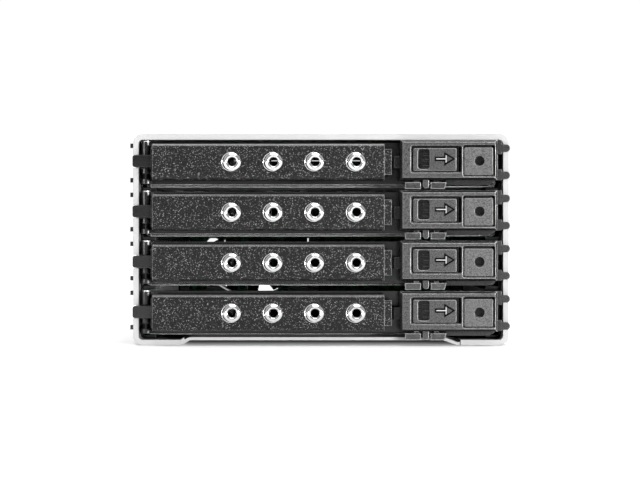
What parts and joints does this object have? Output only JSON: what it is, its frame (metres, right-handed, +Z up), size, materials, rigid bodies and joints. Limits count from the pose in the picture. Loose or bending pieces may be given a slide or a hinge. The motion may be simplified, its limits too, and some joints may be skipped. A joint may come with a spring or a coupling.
{
  "type": "hot swap drive cage",
  "caption": "Metal drive cage for two stacked 5.25 inch bays, with stacked sliding trays, hinged handles, slide latches and a rear fan",
  "frame": {"origin": "under the middle of the sleeve's front edge, in the plane of the lower side flanges", "axes": "+X is the cage's right seen from its front, +Y runs from the front to the rear, +Z is up"},
  "size_m": [0.1497, 0.1698, 0.082],
  "materials": {
    "zinc_sheet": "bright zinc-coated sheet steel with a fine rolled grain",
    "bright_sheet": "plain bright sheet steel of the drive carriers",
    "powder_coat": "black powder coat with a coarse sparkling texture",
    "bezel_plastic": "dark grey fine-textured moulded plastic",
    "black_plastic": "black moulded plastic",
    "clear_plastic": "clear moulded light pipe",
    "chrome_plate": "bright plated rolled eyelets",
    "bright_steel": "nickel-plated steel",
    "spring_steel": "spring steel strip",
    "circuit_board": "green solder mask on glass-fibre board",
    "lamp_body": "milky lamp body",
    "fan_plastic": "black fan plastic"
  },
  "bodies": {
    "cage": {"housing": "zinc_sheet", "guide_rail_left": "black_plastic", "guide_rail_right": "black_plastic", "backplane_board": "circuit_board", "drive_sockets": "black_plastic", "status_lamps": "lamp_body", "data_ports": "black_plastic", "power_inlets": "black_plastic", "rear_panel": "zinc_sheet", "fan_frame": "fan_plastic", "fan_guard": "bright_steel", "fan_screws": "bright_steel", "board_screws": "bright_steel", "case_rivets": "bright_steel"},
    "fan_rotor": {"fan_rotor": "fan_plastic"},
    "tray_1": {"carrier_1": "bright_sheet", "front_frame_1": "black_plastic", "bezel_1": "bezel_plastic", "light_pipes_1": "clear_plastic", "hinge_pin_1": "bright_steel", "return_springs_1": "spring_steel"},
    "handle_1": {"handle_1": "powder_coat", "eyelets_1": "chrome_plate", "hinge_knuckle_1": "black_plastic"},
    "latch_1": {"slide_latch_1": "bezel_plastic"},
    "button_1": {"lock_button_1": "bezel_plastic"},
    "tray_2": {"carrier_2": "bright_sheet", "front_frame_2": "black_plastic", "bezel_2": "bezel_plastic", "light_pipes_2": "clear_plastic", "hinge_pin_2": "bright_steel", "return_springs_2": "spring_steel"},
    "handle_2": {"handle_2": "powder_coat", "eyelets_2": "chrome_plate", "hinge_knuckle_2": "black_plastic"},
    "latch_2": {"slide_latch_2": "bezel_plastic"},
    "button_2": {"lock_button_2": "bezel_plastic"},
    "tray_3": {"carrier_3": "bright_sheet", "front_frame_3": "black_plastic", "bezel_3": "bezel_plastic", "light_pipes_3": "clear_plastic", "hinge_pin_3": "bright_steel", "return_springs_3": "spring_steel"},
    "handle_3": {"handle_3": "powder_coat", "eyelets_3": "chrome_plate", "hinge_knuckle_3": "black_plastic"},
    "latch_3": {"slide_latch_3": "bezel_plastic"},
    "button_3": {"lock_button_3": "bezel_plastic"},
    "tray_4": {"carrier_4": "bright_sheet", "front_frame_4": "black_plastic", "bezel_4": "bezel_plastic", "light_pipes_4": "clear_plastic", "hinge_pin_4": "bright_steel", "return_springs_4": "spring_steel"},
    "handle_4": {"handle_4": "powder_coat", "eyelets_4": "chrome_plate", "hinge_knuckle_4": "black_plastic"},
    "latch_4": {"slide_latch_4": "bezel_plastic"},
    "button_4": {"lock_button_4": "bezel_plastic"}
  },
  "joints": [
    {"name": "tray_slide_1", "type": "slide", "parent": "cage", "child": "tray_1", "axis": [0, -1, 0], "range_m": [0, 0.14]},
    {"name": "handle_hinge_1", "type": "hinge", "parent": "tray_1", "child": "handle_1", "pos_m": [-0.0682, 0.0025, 0.0127], "axis": [0, 0, -1], "range_deg": [0, 80]},
    {"name": "latch_slide_1", "type": "slide", "parent": "tray_1", "child": "latch_1", "axis": [1, 0, 0], "range_m": [0, 0.0014], "stiffness_N_per_m": 400, "deforming": ["return_springs_1"]},
    {"name": "button_push_1", "type": "slide", "parent": "tray_1", "child": "button_1", "axis": [0, 1, 0], "range_m": [0, 0.0012], "stiffness_N_per_m": 500},
    {"name": "tray_slide_2", "type": "slide", "parent": "cage", "child": "tray_2", "axis": [0, -1, 0], "range_m": [0, 0.14]},
    {"name": "handle_hinge_2", "type": "hinge", "parent": "tray_2", "child": "handle_2", "pos_m": [-0.0682, 0.0025, 0.03215], "axis": [0, 0, -1], "range_deg": [0, 80]},
    {"name": "latch_slide_2", "type": "slide", "parent": "tray_2", "child": "latch_2", "axis": [1, 0, 0], "range_m": [0, 0.0014], "stiffness_N_per_m": 400, "deforming": ["return_springs_2"]},
    {"name": "button_push_2", "type": "slide", "parent": "tray_2", "child": "button_2", "axis": [0, 1, 0], "range_m": [0, 0.0012], "stiffness_N_per_m": 500},
    {"name": "tray_slide_3", "type": "slide", "parent": "cage", "child": "tray_3", "axis": [0, -1, 0], "range_m": [0, 0.14]},
    {"name": "handle_hinge_3", "type": "hinge", "parent": "tray_3", "child": "handle_3", "pos_m": [-0.0682, 0.0025, 0.0516], "axis": [0, 0, -1], "range_deg": [0, 80]},
    {"name": "latch_slide_3", "type": "slide", "parent": "tray_3", "child": "latch_3", "axis": [1, 0, 0], "range_m": [0, 0.0014], "stiffness_N_per_m": 400, "deforming": ["return_springs_3"]},
    {"name": "button_push_3", "type": "slide", "parent": "tray_3", "child": "button_3", "axis": [0, 1, 0], "range_m": [0, 0.0012], "stiffness_N_per_m": 500},
    {"name": "tray_slide_4", "type": "slide", "parent": "cage", "child": "tray_4", "axis": [0, -1, 0], "range_m": [0, 0.14]},
    {"name": "handle_hinge_4", "type": "hinge", "parent": "tray_4", "child": "handle_4", "pos_m": [-0.0682, 0.0025, 0.07105], "axis": [0, 0, -1], "range_deg": [0, 80]},
    {"name": "latch_slide_4", "type": "slide", "parent": "tray_4", "child": "latch_4", "axis": [1, 0, 0], "range_m": [0, 0.0014], "stiffness_N_per_m": 400, "deforming": ["return_springs_4"]},
    {"name": "button_push_4", "type": "slide", "parent": "tray_4", "child": "button_4", "axis": [0, 1, 0], "range_m": [0, 0.0012], "stiffness_N_per_m": 500},
    {"name": "fan_spin", "type": "hinge", "parent": "cage", "child": "fan_rotor", "pos_m": [-0.034, 0.153, 0.041], "axis": [0, 1, 0], "continuous": true}
  ]
}
